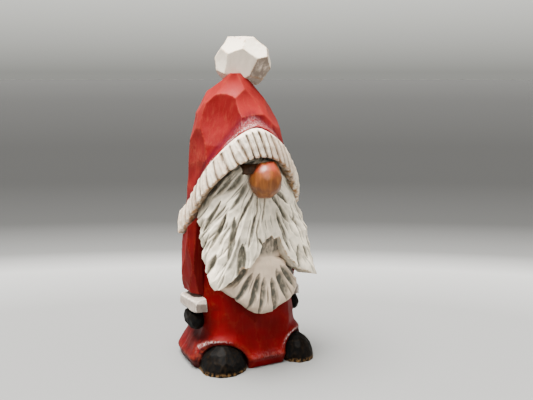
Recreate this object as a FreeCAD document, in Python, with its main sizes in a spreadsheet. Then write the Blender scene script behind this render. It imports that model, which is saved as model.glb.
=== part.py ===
import FreeCAD, Part
import os
import Sketcher

# Tomte gnome figurine: a small Nordic carving in painted linden wood.
#
# Millimetres, +Z up.  The origin is the middle of the footprint, on the surface that the
# figure stands on.  The gnome looks along -Y, so +X is its own left-hand side.
#
# Every driving dimension is a named cell of the "dims" sheet.  Most pieces are knife-cut
# blocks: stacks of chamfered rectangles, called rings here, joined by flat-sided lofts and
# trimmed along the arched edge of the hat brim and the outlines of the beard.  Neighbours
# meet face to face; the head, the nose and the pompom are held by a tenon and two dowels.

doc = FreeCAD.newDocument("tomte_gnome")
dims = doc.addObject("Spreadsheet::Sheet", "dims")

# ---------------------------------------------------------------- driving dimensions

RING_FIELDS = ("level", "x_low", "x_high", "y_low", "y_high", "chamfer")
RINGS = {
    "coat": {
        "floor": (0.0, -25.6, 25.6, -19.0, 21.5, 9.0),
        "hem": (4.0, -26.2, 26.2, -19.6, 22.0, 9.0),
        "tuck": (11.0, -22.4, 22.4, -17.4, 19.5, 8.0),
        "waist": (15.0, -21.0, 21.0, -16.0, 18.5, 7.0),
        "chest": (36.0, -21.0, 21.0, -13.0, 19.0, 8.0),
        "shoulder": (53.5, -21.0, 21.0, -13.0, 19.0, 8.0),
    },
    "head": {
        "neck": (53.5, -14.0, 14.0, -13.0, 12.0, 5.0),
        "crown": (96.0, -13.0, 11.0, -13.0, 12.0, 5.0),
    },
    "hat": {
        "rim": (53.5, -21.0, 21.0, -17.5, 19.5, 9.0),
        "low": (66.0, -21.0, 20.5, -18.0, 19.5, 9.0),
        "mid": (80.0, -20.0, 17.5, -17.8, 19.5, 8.5),
        "high": (94.0, -18.8, 14.5, -16.8, 19.0, 8.0),
        "crown": (101.0, -17.5, 13.4, -15.0, 18.5, 8.0),
        "dome": (108.0, -15.0, 9.6, -12.0, 16.5, 7.0),
        "cap": (114.0, -10.8, 4.4, -9.0, 12.0, 5.0),
        "tip": (119.5, -6.4, -2.4, -6.0, -1.5, 1.2),
    },
    "brim": {
        "under": (53.0, -24.2, 23.2, -23.4, 23.0, 10.0),
        "side": (66.0, -23.2, 22.4, -23.0, 22.0, 10.0),
        "slope": (80.0, -21.6, 20.0, -22.6, 21.0, 10.0),
        "front": (99.5, -18.5, 15.8, -20.6, 19.0, 9.0),
    },
    "moustache": {
        "tips": (35.0, -24.8, 24.8, -24.6, 10.0, 2.0),
        "wings": (44.0, -24.0, 24.0, -23.6, 10.0, 3.5),
        "cheeks": (56.0, -23.4, 23.4, -22.2, 10.0, 6.0),
        "lip": (70.0, -21.4, 21.4, -20.4, 10.0, 8.0),
        "root": (88.0, -12.0, 12.0, -18.4, 10.0, 6.0),
    },
    "beard": {
        "hem": (22.0, -13.0, 14.5, -21.6, 0.0, 5.0),
        "fan": (31.0, -18.5, 18.5, -22.6, 0.0, 6.0),
        "middle": (42.0, -17.0, 17.0, -21.4, 0.0, 6.0),
        "top": (54.0, -8.0, 8.0, -19.6, 0.0, 3.0),
    },
    "pompom": {
        "foot": (113.5, -3.0, 8.0, -1.5, 9.5, 3.5),
        "lower": (118.0, -7.0, 12.0, -5.5, 13.5, 5.6),
        "belly": (124.0, -8.8, 13.8, -7.3, 15.3, 6.6),
        "upper": (130.0, -5.6, 10.8, -4.1, 12.3, 5.0),
        "top": (134.0, -1.6, 6.8, -0.1, 8.3, 2.6),
    },
    # the rings of the nose stand upright: level is their distance in front of the axis of the
    # figure, and y is the height
    "nose": {
        "seat": (17.5, -5.0, 5.0, 74.2, 83.2, 2.6),
        "back": (19.6, -7.2, 7.2, 72.2, 85.2, 4.2),
        "front": (23.4, -7.2, 7.2, 72.0, 85.0, 4.2),
        "point": (28.2, -3.4, 3.4, 75.6, 81.6, 2.0),
    },
    # the pieces of an arm: x is the distance from the middle of the figure, on either side, and
    # the left arm is moved back as a whole
    "sleeve": {
        "wrist": (31.0, 21.0, 24.6, -5.6, 7.2, 1.4),
        "elbow": (42.0, 21.0, 25.4, -5.9, 9.0, 1.8),
        "shoulder": (64.0, 21.0, 24.4, -5.9, 8.0, 1.6),
    },
    "cuff": {
        "palm": (22.5, 18.0, 26.4, -11.4, 7.6, 1.6),
        "wrist": (31.0, 18.0, 26.0, -11.8, 8.2, 1.6),
    },
    "mitten": {
        "tips": (14.6, 18.0, 24.2, -8.6, 3.6, 2.0),
        "knuckles": (18.4, 18.0, 25.8, -11.0, 5.8, 2.4),
        "palm": (22.5, 18.0, 25.4, -10.2, 6.2, 1.8),
    },
}

SIZES = {
    # lower edge of the brim: height = middle + swing * cos(1.5 * angle round from the front)
    "arch_radius": 23.0,
    "arch_middle": 70.5,
    "arch_swing": 17.0,
    "band_height": 11.3,
    # the hat is open over the face as far round as this angle
    "face_angle": 75.0,
    # trimming cuts start this far out and this high up, clear of every piece
    "reach": 34.0,
    "clear_height": 140.0,
    # round tenon of the head block in the coat
    "tenon_radius": 8.0,
    "tenon_length": 12.0,
    # back edge of the moustache, seen from the side
    "whisker_top": 56.0,
    "whisker_low": 34.0,
    "whisker_recess": 12.5,
    # how much further back the left arm is than the right one
    "left_arm_shift": 5.0,
    # boots
    "boot_right_middle": 15.5,
    "boot_right_half_width": 9.1,
    "boot_left_middle": 17.0,
    "boot_left_half_width": 8.4,
    "boot_height": 12.6,
    "boot_heel": 9.0,
    "boot_toe": 22.6,
    "boot_rounding": 5.0,
    # dowels of the nose and the pompom
    "nose_dowel_height": 78.6,
    "nose_dowel_radius": 1.5,
    "nose_dowel_front": 24.0,
    "nose_dowel_back": 5.0,
    "pompom_dowel_radius": 2.0,
    "pompom_dowel_x": -0.6,
    "pompom_dowel_y": 3.4,
    "pompom_dowel_bottom": 104.0,
    "pompom_dowel_top": 124.0,
}

# (x, z) corners of the ragged lower edge of the moustache, from the gnome's left wing tip
MOUSTACHE_EDGE = [(25.4, 37.0), (22.6, 36.2), (17.6, 39.4), (13.4, 41.0), (9.8, 45.0), (6.4, 46.4),
                  (2.6, 50.6), (-1.4, 51.8), (-5.0, 48.0), (-9.2, 45.6), (-13.0, 41.2),
                  (-17.2, 39.8), (-22.0, 36.0), (-25.4, 36.6)]
# (x, z) corners of the fan of the lower beard, from its left edge, down and round
BEARD_EDGE = [(19.0, 39.0), (17.0, 31.6), (15.4, 28.2), (10.7, 25.6), (5.2, 24.0), (0.2, 23.4),
              (-5.8, 24.2), (-9.3, 26.4), (-12.8, 29.8), (-16.6, 33.6), (-19.0, 39.0)]
EDGES = {"moustache_edge": MOUSTACHE_EDGE, "beard_edge": BEARD_EDGE}

named_values = dict(SIZES)
for stem, rings in RINGS.items():
    for ring, values in rings.items():
        for field, value in zip(RING_FIELDS, values):
            named_values[f"{stem}_{ring}_{field}"] = value
for stem, edge in EDGES.items():
    for number, (across, height) in enumerate(edge):
        named_values[f"{stem}_{number}_across"] = across
        named_values[f"{stem}_{number}_height"] = height
for row, (name, value) in enumerate(named_values.items(), start=1):
    dims.set(f"A{row}", name)
    dims.set(f"B{row}", str(value))
    dims.setAlias(f"B{row}", name)
doc.recompute()


# ---------------------------------------------------------------- helpers: sketches

def value_of(expression):
    """The present value of an expression over the sheet."""
    return float(dims.evalExpression(expression))


def new_sketch(body, name, plane, offset):
    """A sketch on one of the body's own origin planes, moved along the plane's normal."""
    sketch = body.newObject("Sketcher::SketchObject", name)
    support = next(item for item in body.Origin.OriginFeatures if item.Role == plane)
    sketch.AttachmentSupport = (support, [""])
    sketch.MapMode = "FlatFace"
    sketch.setExpression("AttachmentOffset.Base.z", offset)
    return sketch


def pin(sketch, kind, line, value, expression):
    """Hold one coordinate of a line's start point to an expression over the sheet."""
    number = sketch.addConstraint(Sketcher.Constraint(kind, -1, 1, line, 1, value))
    sketch.setExpression(f"Constraints[{number}]", expression)


def draw_polygon(sketch, corners):
    """A closed polygon, its corners given as pairs of expressions and all of them pinned."""
    points = [FreeCAD.Vector(value_of(across), value_of(up), 0) for across, up in corners]
    for line, start in enumerate(points):
        sketch.addGeometry(Part.LineSegment(start, points[(line + 1) % len(points)]), False)
    for line in range(len(points)):
        following = (line + 1) % len(points)
        sketch.addConstraint(Sketcher.Constraint("Coincident", line, 2, following, 1))
    for line, (across, up) in enumerate(corners):
        pin(sketch, "DistanceX", line, points[line].x, across)
        pin(sketch, "DistanceY", line, points[line].y, up)


def draw_archway(sketch, middle, half_width, height):
    """A doorway outline on the floor: two upright legs under a half circle."""
    spring = f"({height} - {half_width})"
    left, right, top = (value_of(text) for text in
                        (f"{middle} - {half_width}", f"{middle} + {half_width}", spring))
    corners = [(right, 0), (right, top), (left, top), (left, 0)]
    leg_right, arc, leg_left, floor = range(4)
    points = [FreeCAD.Vector(across, up, 0) for across, up in corners]
    crown = FreeCAD.Vector((left + right) / 2, top + (right - left) / 2, 0)
    sketch.addGeometry(Part.LineSegment(points[0], points[1]), False)
    sketch.addGeometry(Part.Arc(points[1], crown, points[2]), False)
    sketch.addGeometry(Part.LineSegment(points[2], points[3]), False)
    sketch.addGeometry(Part.LineSegment(points[3], points[0]), False)
    sketch.addConstraint(Sketcher.Constraint("Tangent", leg_right, 2, arc, 1))
    sketch.addConstraint(Sketcher.Constraint("Tangent", arc, 2, leg_left, 1))
    sketch.addConstraint(Sketcher.Constraint("Coincident", leg_left, 2, floor, 1))
    sketch.addConstraint(Sketcher.Constraint("Coincident", floor, 2, leg_right, 1))
    sketch.addConstraint(Sketcher.Constraint("PointOnObject", leg_right, 1, -1))
    sketch.addConstraint(Sketcher.Constraint("PointOnObject", floor, 1, -1))
    sketch.addConstraint(Sketcher.Constraint("Vertical", leg_right))
    pin(sketch, "DistanceX", leg_right, right, f"{middle} + {half_width}")
    pin(sketch, "DistanceX", leg_left, left, f"{middle} - {half_width}")
    pin(sketch, "DistanceY", leg_left, top, spring)


def ring_corners(stem, ring, side=1, back="0"):
    """The eight corners of a chamfered rectangle, moved back.

    Side -1 mirrors it across the figure.
    """
    x_low, x_high, y_low, y_high, cut = (
        f"dims.{stem}_{ring}_{field}" for field in RING_FIELDS[1:])
    y_low, y_high = f"{y_low} + {back}", f"{y_high} + {back}"
    if side < 0:
        x_low, x_high = f"-{x_high}", f"-{x_low}"
    return [
        (f"{x_low} + {cut}", y_low), (f"{x_high} - {cut}", y_low),
        (x_high, f"{y_low} + {cut}"), (x_high, f"{y_high} - {cut}"),
        (f"{x_high} - {cut}", y_high), (f"{x_low} + {cut}", y_high),
        (x_low, f"{y_high} - {cut}"), (x_low, f"{y_low} + {cut}"),
    ]


def arch_height(angle, lift="0"):
    """Height of the brim's lower edge at an angle round from the front, plus a lift."""
    return f"dims.arch_middle + dims.arch_swing * cos(1.5 * {angle} * 1 deg) + {lift}"


# ---------------------------------------------------------------- helpers: solids

def new_body(name):
    """A PartDesign body that carries its name as its label."""
    body = doc.addObject("PartDesign::Body", name)
    body.Label = name
    return body


def loft(name, stem, plane="XY_Plane", side=1, back="0"):
    """A new body: a flat-sided loft through the rings of one stem."""
    body = new_body(name)
    sections = []
    for ring in RINGS[stem]:
        section = new_sketch(body, f"{name}_{ring}", plane, f"dims.{stem}_{ring}_level")
        draw_polygon(section, ring_corners(stem, ring, side, back))
        sections.append(section)
    feature = body.newObject("PartDesign::AdditiveLoft", f"{name}_loft")
    feature.Profile = sections[0]
    feature.Sections = sections[1:]
    feature.Ruled = True
    doc.recompute()
    return body


def must_shrink(body, before):
    """Stop if a cut has taken nothing away."""
    doc.recompute()
    if not body.Shape.Volume < before - 1e-3:
        raise RuntimeError(f"a cut of {body.Label} removed nothing")


def trim(body, name, plane, start, depth, corners):
    """Cut a prism of the given outline, from start along the plane's normal, inwards."""
    before = body.Shape.Volume
    sketch = new_sketch(body, f"{name}_outline", plane, start)
    draw_polygon(sketch, corners)
    pocket = body.newObject("PartDesign::Pocket", name)
    pocket.Profile = sketch
    pocket.setExpression("Length", depth)
    must_shrink(body, before)


def subtract(label, base, *tools):
    """A piece cut to fit its neighbours: the base less each tool in turn."""
    for tool in tools:
        before = base.Shape.Volume
        cut = doc.addObject("Part::Cut", f"{label}_less_{tool.Name}")
        cut.Base = base
        cut.Tool = tool
        must_shrink(cut, before)
        base = cut
    base.Label = label
    return base


# ---------------------------------------------------------------- trimming outlines

FRONT_ANGLES = (-75, -60, -40, -20, 0, 20, 40, 60, 75)
SIDE_ANGLES = (75, 90, 105, 120)
REACH = "dims.reach"
FACE_PLANE = "dims.arch_radius * cos(dims.face_angle * 1 deg)"
FACE_DEPTH = f"dims.reach - {FACE_PLANE}"


def front_arch(lift="0"):
    """The brim's lower edge, or a line lifted above it, seen from the front."""
    line = [(f"dims.arch_radius * sin({angle} * 1 deg)", arch_height(angle, lift))
            for angle in FRONT_ANGLES]
    return [(f"-{REACH}", line[0][1])] + line + [(REACH, line[-1][1])]


def side_slope(lift="0"):
    """The same edge carried round the side, seen from the figure's left as (y, z)."""
    line = [(f"-dims.arch_radius * cos({angle} * 1 deg)", arch_height(angle, lift))
            for angle in SIDE_ANGLES]
    return line + [(REACH, line[-1][1])]


def closed_below(line):
    """The region under an open line, down to the floor."""
    return line + [(line[-1][0], "0"), (line[0][0], "0")]


def closed_above(line):
    """The region over an open line, up past the top of the figure."""
    return line + [(line[-1][0], "dims.clear_height"), (line[0][0], "dims.clear_height")]


def edge_line(stem):
    """One of the beard outlines, with its ends carried out sideways."""
    line = [(f"dims.{stem}_{number}_across", f"dims.{stem}_{number}_height")
            for number in range(len(EDGES[stem]))]
    return [(REACH, line[0][1])] + line + [(f"-{REACH}", line[-1][1])]


def trim_front(body, name, outline):
    """Cut everything in front of the face plane that lies inside an outline."""
    trim(body, name, "XZ_Plane", REACH, FACE_DEPTH, outline)


def trim_side(body, name, outline):
    """Cut an outline right through from side to side."""
    trim(body, name, "YZ_Plane", REACH, f"2 * {REACH}", outline)


# ---------------------------------------------------------------- coat and boots

def boot_profile(body, name, side, offset):
    """The doorway-shaped outline shared by a boot and its pocket in the hem."""
    sketch = new_sketch(body, name, "XZ_Plane", offset)
    sign = "-" if side == "right" else ""
    draw_archway(sketch, f"{sign}dims.boot_{side}_middle", f"dims.boot_{side}_half_width",
                 "dims.boot_height")
    return sketch


def make_coat_block():
    """The coat: straight at the chest, tucked in at the waist, flared at the hem."""
    body = loft("coat_block", "coat")
    for side in ("right", "left"):
        before = body.Shape.Volume
        pocket_name = f"boot_pocket_{side}"
        sketch = boot_profile(body, f"{pocket_name}_outline", side, REACH)
        pocket = body.newObject("PartDesign::Pocket", pocket_name)
        pocket.Profile = sketch
        pocket.setExpression("Length", f"{REACH} - dims.boot_heel")
        must_shrink(body, before)
    return body


def make_boot(side):
    """A boot: the doorway outline drawn forward to a rounded toe."""
    body = new_body(f"boot_{side}")
    sketch = boot_profile(body, f"boot_{side}_outline", side, "dims.boot_heel")
    pad = body.newObject("PartDesign::Pad", f"boot_{side}_pad")
    pad.Profile = sketch
    pad.setExpression("Length", "dims.boot_toe - dims.boot_heel")
    doc.recompute()
    toe = -value_of("dims.boot_toe")
    toe_edges = [f"Edge{number}" for number, edge in enumerate(pad.Shape.Edges, start=1)
                 if abs(edge.BoundBox.YMin - toe) < 1e-3 and abs(edge.BoundBox.YMax - toe) < 1e-3
                 and edge.BoundBox.ZMax > 1.0]
    fillet = body.newObject("PartDesign::Fillet", f"boot_{side}_toe")
    fillet.Base = (pad, toe_edges)
    fillet.setExpression("Radius", "dims.boot_rounding")
    doc.recompute()
    return body


# ---------------------------------------------------------------- head, hat and brim

def make_head_block():
    """The block behind the face and inside the hat, with a round tenon for the coat."""
    body = loft("head_block", "head")
    sketch = new_sketch(body, "tenon_outline", "XY_Plane",
                        "dims.head_neck_level - dims.tenon_length")
    sketch.addGeometry(Part.Circle(FreeCAD.Vector(0, 0, 0), FreeCAD.Vector(0, 0, 1),
                                   value_of("dims.tenon_radius")), False)
    sketch.addConstraint(Sketcher.Constraint("Coincident", 0, 3, -1, 1))
    number = sketch.addConstraint(Sketcher.Constraint("Radius", 0, value_of("dims.tenon_radius")))
    sketch.setExpression(f"Constraints[{number}]", "dims.tenon_radius")
    pad = body.newObject("PartDesign::Pad", "tenon")
    pad.Profile = sketch
    pad.setExpression("Length", "dims.tenon_length")
    doc.recompute()
    return body


def make_hat_block():
    """The hat, blunt at its tip and open below the arch over the face."""
    body = loft("hat_block", "hat")
    trim_front(body, "face_window", closed_below(front_arch()))
    return body


def make_brim_band():
    """The ribbed band round the hat: low at the back and sides, arched over the face."""
    body = loft("brim_band", "brim")
    trim_front(body, "front_under", closed_below(front_arch()))
    trim_front(body, "front_over", closed_above(front_arch("dims.band_height")))
    trim_side(body, "side_under", closed_below(side_slope()))
    trim_side(body, "side_over", closed_above(side_slope("dims.band_height")))
    return body


# ---------------------------------------------------------------- beard, nose and pompom

def make_moustache_block():
    """The upper beard: two wings that hang from under the brim and stick out at the tips."""
    body = loft("moustache_block", "moustache")
    trim_front(body, "under_brim", closed_above(front_arch()))
    trim_front(body, "ragged_edge", closed_below(edge_line("moustache_edge")))
    face = f"-{FACE_PLANE}"
    trim_side(body, "behind_face", [
        (face, "0"), (face, "dims.clear_height"), (REACH, "dims.clear_height"), (REACH, "0")])
    trim_side(body, "whisker_slant", [
        (face, "dims.whisker_top"), ("-dims.whisker_recess", "dims.whisker_low"),
        (face, "dims.whisker_low")])
    return body


def make_beard_block():
    """The lower beard: a fan that comes out from under the moustache."""
    body = loft("beard_block", "beard")
    trim(body, "fan_outline", "XZ_Plane", REACH, REACH, closed_below(edge_line("beard_edge")))
    trim(body, "under_moustache", "XZ_Plane", REACH, REACH,
         closed_above(edge_line("moustache_edge")))
    return body


def make_dowel(name, radius, length, axis, place):
    """A round dowel: a primitive cylinder from its lower or back end."""
    dowel = doc.addObject("Part::Cylinder", name)
    dowel.Label = name
    dowel.Placement = FreeCAD.Placement(FreeCAD.Vector(0, 0, 0),
                                        FreeCAD.Rotation(FreeCAD.Vector(0, 0, 1), axis))
    dowel.setExpression("Radius", radius)
    dowel.setExpression("Height", length)
    for letter, expression in zip("xyz", place):
        dowel.setExpression(f"Placement.Base.{letter}", expression)
    doc.recompute()
    return dowel


# ---------------------------------------------------------------- the assembly

coat_block = make_coat_block()
head_block = make_head_block()
hat_form = loft("hat_form", "hat")
nose_block = loft("nose_block", "nose", plane="XZ_Plane")
nose_dowel = make_dowel(
    "nose_dowel", "dims.nose_dowel_radius", "dims.nose_dowel_front - dims.nose_dowel_back",
    FreeCAD.Vector(0, -1, 0), ("0", "-dims.nose_dowel_back", "dims.nose_dowel_height"))
pompom_dowel = make_dowel(
    "pompom_dowel", "dims.pompom_dowel_radius",
    "dims.pompom_dowel_top - dims.pompom_dowel_bottom", FreeCAD.Vector(0, 0, 1),
    ("dims.pompom_dowel_x", "dims.pompom_dowel_y", "dims.pompom_dowel_bottom"))

pieces = [
    subtract("coat", coat_block, head_block),
    subtract("head", head_block, nose_dowel),
    subtract("hat", make_hat_block(), head_block, pompom_dowel),
    subtract("hat_brim", make_brim_band(), hat_form),
    subtract("pompom", loft("pompom_block", "pompom"), hat_form, pompom_dowel),
    pompom_dowel,
    subtract("nose", nose_block, nose_dowel),
    nose_dowel,
    subtract("moustache", make_moustache_block(), coat_block, head_block, nose_block, nose_dowel),
    subtract("beard", make_beard_block(), coat_block),
]
for side_name, direction, moved in (("right", -1, "0"), ("left", 1, "dims.left_arm_shift")):
    sleeve = loft(f"sleeve_{side_name}", "sleeve", side=direction, back=moved)
    trim_side(sleeve, f"shoulder_{side_name}", closed_above(side_slope()))
    cuff_block = loft(f"cuff_{side_name}_block", "cuff", side=direction, back=moved)
    mitten_block = loft(f"mitten_{side_name}_block", "mitten", side=direction, back=moved)
    pieces += [
        sleeve,
        subtract(f"cuff_{side_name}", cuff_block, coat_block),
        subtract(f"mitten_{side_name}", mitten_block, coat_block),
        make_boot(side_name),
    ]

# ---------------------------------------------------------------- tests and STEP files

doc.recompute()
for item in doc.Objects:
    if "Invalid" in item.State or "Error" in item.State:
        raise RuntimeError(f"{item.Label} did not compute: {item.State}")
os.makedirs("parts", exist_ok=True)
for piece in pieces:
    if piece.Shape.isNull() or not piece.Shape.isValid() or len(piece.Shape.Solids) != 1:
        raise RuntimeError(f"{piece.Label} is not one valid solid")
    print(f"{piece.Label:14} {piece.Shape.Volume:10.1f} mm3  {piece.Shape.BoundBox}")
    piece.Shape.exportStep(f"parts/{piece.Label}.step")
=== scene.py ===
"""The looks of the tomte gnome: each packed block is carved again as a knife-cut, painted piece.

Lengths inside this script are millimetres in the row's frame, +Z up, with the gnome looking
along -Y; they become metres where a mesh is made.  Angles go round the figure from its front,
positive towards its left hand (+X).  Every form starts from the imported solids: it is wrapped
on them by rays, or sized by their boxes, and then cut with flats, gouges and ribs.
"""
import math

import bpy
import numpy as np
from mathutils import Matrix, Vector
from mathutils.bvhtree import BVHTree


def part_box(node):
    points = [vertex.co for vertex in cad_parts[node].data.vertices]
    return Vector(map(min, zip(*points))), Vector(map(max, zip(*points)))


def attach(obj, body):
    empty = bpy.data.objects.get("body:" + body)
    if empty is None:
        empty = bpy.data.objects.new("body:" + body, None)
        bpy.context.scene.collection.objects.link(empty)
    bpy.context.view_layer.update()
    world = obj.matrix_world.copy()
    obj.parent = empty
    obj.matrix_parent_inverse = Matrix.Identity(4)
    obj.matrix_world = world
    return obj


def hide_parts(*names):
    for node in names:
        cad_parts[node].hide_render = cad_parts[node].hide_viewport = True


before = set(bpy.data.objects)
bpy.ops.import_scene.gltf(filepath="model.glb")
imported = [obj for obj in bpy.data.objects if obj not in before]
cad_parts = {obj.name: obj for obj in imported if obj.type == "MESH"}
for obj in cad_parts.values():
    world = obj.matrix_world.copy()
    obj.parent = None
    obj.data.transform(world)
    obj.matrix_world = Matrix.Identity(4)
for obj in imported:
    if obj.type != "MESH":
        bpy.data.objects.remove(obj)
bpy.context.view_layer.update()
MM = 0.001
rng = np.random.default_rng(20)


def clip01(values):
    """Values held between 0 and 1."""
    return np.clip(values, 0, 1)


def bell(offset, width):
    """1 where the offset is 0, falling smoothly away on both sides."""
    return np.exp(-(offset / width) ** 2)


# ---------------------------------------------------------------- camera, light and floor

EYE = (-126.8, -271.9, 119.9)
HEADING, DIP = math.radians(26.95), math.radians(10.02)
LENS, SENSOR = 48.9, 36.0
FLOOR_RINGS = (150, 300, 600, 1500, 4000, 12000)
FLOOR_SIDES = 48
# the floor's greys by how far out a place lies: distance / (distance + HALF_WAY), in metres,
# with distances across the camera's heading counted shorter by FLOOR_OVAL
FLOOR_OVAL, HALF_WAY = 2.2, 0.5
# these greys paint the studio's light on the floor: a bright ring round the figure, painted shade
# further out and a little lighter again towards the horizon
FLOOR_GREYS = ((0.0, 0.18), (0.13, 0.19), (0.22, 0.275), (0.27, 0.105), (0.36, 0.040),
               (0.50, 0.026), (0.64, 0.026), (0.85, 0.036), (1.0, 0.053))
# the world's greys by height, from the horizon to straight up
SKY_GREYS = ((0.0, 0.345), (0.10, 0.95), (0.22, 0.42), (1.0, 0.30))
SUN_STRENGTH, SUN_SPREAD = 20.0, math.radians(42)
SUN_COLOUR, SUN_WAY = (1.0, 0.972, 0.925), (0.19, -0.03, -0.97)


def make_camera():
    """A camera a little above the hat, in front of the gnome and to its right."""
    data = bpy.data.cameras.new("camera")
    data.lens = LENS
    data.sensor_width = SENSOR
    camera = bpy.data.objects.new("camera", data)
    camera.location = Vector(EYE) * MM
    camera.rotation_euler = (math.pi / 2 - DIP, 0, -HEADING)
    bpy.context.scene.collection.objects.link(camera)
    bpy.context.scene.camera = camera


def add_light(data, colour, way, place=(0, 0, 0)):
    """Put a lamp in the scene, shining a given way; place is in millimetres."""
    data.color = colour
    lamp = bpy.data.objects.new(data.name, data)
    lamp.location = Vector(place) * MM
    lamp.rotation_euler = Vector(way).to_track_quat("-Z", "Y").to_euler()
    bpy.context.scene.collection.objects.link(lamp)


def make_lights():
    """A broad soft lamp overhead, a weak one in front and a pale band above the horizon."""
    sun = bpy.data.lights.new("overhead", "SUN")
    sun.energy = SUN_STRENGTH
    sun.angle = SUN_SPREAD
    add_light(sun, SUN_COLOUR, SUN_WAY)
    softbox = bpy.data.lights.new("front", "AREA")
    softbox.size = 0.42
    softbox.energy = 2.0
    place, target = (-150, -640, 420), (0, 0, 60)
    add_light(softbox, (1.0, 0.985, 0.96), Vector(target) - Vector(place), place)
    world = bpy.data.worlds.new("studio")
    world.use_nodes = True
    sky = world.node_tree
    split = sky.nodes.new("ShaderNodeSeparateXYZ")
    sky.links.new(sky.nodes.new("ShaderNodeTexCoord").outputs["Generated"], split.inputs[0])
    gradient = sky.nodes.new("ShaderNodeValToRGB")
    sky.links.new(split.outputs["Z"], gradient.inputs[0])
    set_stops(gradient, [(height, (grey, grey, 0.93 * grey)) for height, grey in SKY_GREYS])
    sky.links.new(gradient.outputs[0], sky.nodes["Background"].inputs["Color"])
    bpy.context.scene.world = world


def make_stage():
    """A wide pale floor with painted light: bright round the figure and painted shade far away."""
    turns = np.linspace(0, 2 * math.pi, FLOOR_SIDES, endpoint=False)
    points = [(0.0, 0.0, 0.0)]
    for radius in FLOOR_RINGS:
        points += [tuple(ray * radius * MM) for ray in outward(turns)]
    faces = [(0, 1 + (k + 1) % FLOOR_SIDES, 1 + k) for k in range(FLOOR_SIDES)]
    for ring in range(len(FLOOR_RINGS) - 1):
        start = 1 + ring * FLOOR_SIDES
        following = start + FLOOR_SIDES
        faces += [(start + k, start + (k + 1) % FLOOR_SIDES, following + (k + 1) % FLOOR_SIDES,
                   following + k) for k in range(FLOOR_SIDES)]
    mesh = bpy.data.meshes.new("floor")
    mesh.from_pydata(points, [], faces)
    floor = bpy.data.objects.new("floor", mesh)
    bpy.context.scene.collection.objects.link(floor)
    nodes = NodeMaker("floor")
    oval = nodes.new("ShaderNodeMapping", Vector=nodes.place)
    oval.vector_type = "TEXTURE"
    oval.inputs["Rotation"].default_value = (0, 0, -HEADING)
    oval.inputs["Scale"].default_value = (FLOOR_OVAL, 1.0, 1.0)
    length = nodes.new("ShaderNodeVectorMath", Vector=oval.outputs[0])
    length.operation = "LENGTH"
    distance = length.outputs["Value"]
    tint = nodes.ramp(nodes.maths("DIVIDE", distance, nodes.maths("ADD", distance, HALF_WAY)),
                      [(share, (0.985 * grey, grey, grey)) for share, grey in FLOOR_GREYS])
    nodes.surface(tint, roughness=0.9, specular=0.05)
    mesh.materials.append(nodes.material)


# ---------------------------------------------------------------- node helpers

def set_stops(ramp, stops):
    """Give a colour ramp node its (position, colour) stops."""
    elements = ramp.color_ramp.elements
    while len(elements) < len(stops):
        elements.new(0.5)
    for element, (position, colour) in zip(elements, stops):
        element.position = position
        element.color = (*colour, 1.0)


class NodeMaker:
    """Builds one procedural material with short calls."""

    def __init__(self, name):
        self.material = bpy.data.materials.new(name)
        self.material.use_nodes = True
        self.tree = self.material.node_tree
        self.shader = self.tree.nodes["Principled BSDF"]
        self.place = self.tree.nodes.new("ShaderNodeTexCoord").outputs["Object"]

    def feed(self, socket, value):
        """Link a socket into another, or set its plain value."""
        if isinstance(value, bpy.types.NodeSocket):
            self.tree.links.new(value, socket)
        elif socket.type == "RGBA":
            socket.default_value = (*value, 1.0)
        else:
            socket.default_value = value

    def new(self, kind, **inputs):
        """A node with some inputs fed; an underscore stands for a blank in an input's name."""
        node = self.tree.nodes.new(kind)
        for name, value in inputs.items():
            self.feed(node.inputs[name.replace("_", " ")], value)
        return node

    def maths(self, operation, first, second=0.0, clamp=False):
        node = self.tree.nodes.new("ShaderNodeMath")
        node.operation = operation
        node.use_clamp = clamp
        self.feed(node.inputs[0], first)
        self.feed(node.inputs[1], second)
        return node.outputs[0]

    def attribute(self, name):
        """A float stored on the mesh by the carving code."""
        node = self.tree.nodes.new("ShaderNodeAttribute")
        node.attribute_name = name
        return node.outputs["Fac"]

    def noise(self, scale, stretch=(1, 1, 1), detail=4.0, roughness=0.55, distortion=0.0):
        """Noise over the object's own coordinates; scale is features per millimetre."""
        mapping = self.new("ShaderNodeMapping", Vector=self.place)
        mapping.inputs["Scale"].default_value = tuple(scale / MM * part for part in stretch)
        node = self.new("ShaderNodeTexNoise", Vector=mapping.outputs[0], Scale=1.0,
                        Detail=detail, Roughness=roughness, Distortion=distortion)
        return node.outputs["Fac"]

    def step(self, value, low, high):
        """0 below low and 1 above high, smoothly in between."""
        node = self.tree.nodes.new("ShaderNodeMapRange")
        node.interpolation_type = "SMOOTHSTEP"
        self.feed(node.inputs["Value"], value)
        node.inputs["From Min"].default_value = low
        node.inputs["From Max"].default_value = high
        return node.outputs[0]

    def mix(self, share, first, second, blend="MIX"):
        node = self.tree.nodes.new("ShaderNodeMix")
        node.data_type = "RGBA"
        node.blend_type = blend
        self.feed(node.inputs["Factor"], share)
        self.feed(node.inputs[6], first)
        self.feed(node.inputs[7], second)
        return node.outputs[2]

    def ramp(self, value, stops):
        node = self.tree.nodes.new("ShaderNodeValToRGB")
        self.feed(node.inputs[0], value)
        set_stops(node, stops)
        return node.outputs[0]

    def surface(self, colour, roughness=0.5, specular=0.5, coat=0.0, coat_roughness=0.2,
                height=None, depth=0.05):
        """Finish the shader; depth is the bump's height in millimetres."""
        self.feed(self.shader.inputs["Base Color"], colour)
        self.feed(self.shader.inputs["Roughness"], roughness)
        self.feed(self.shader.inputs["Specular IOR Level"], specular)
        self.feed(self.shader.inputs["Coat Weight"], coat)
        self.feed(self.shader.inputs["Coat Roughness"], coat_roughness)
        if height is not None:
            bump = self.new("ShaderNodeBump", Height=height)
            bump.inputs["Strength"].default_value = 1.0
            bump.inputs["Distance"].default_value = depth * MM
            self.feed(self.shader.inputs["Normal"], bump.outputs[0])


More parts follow.
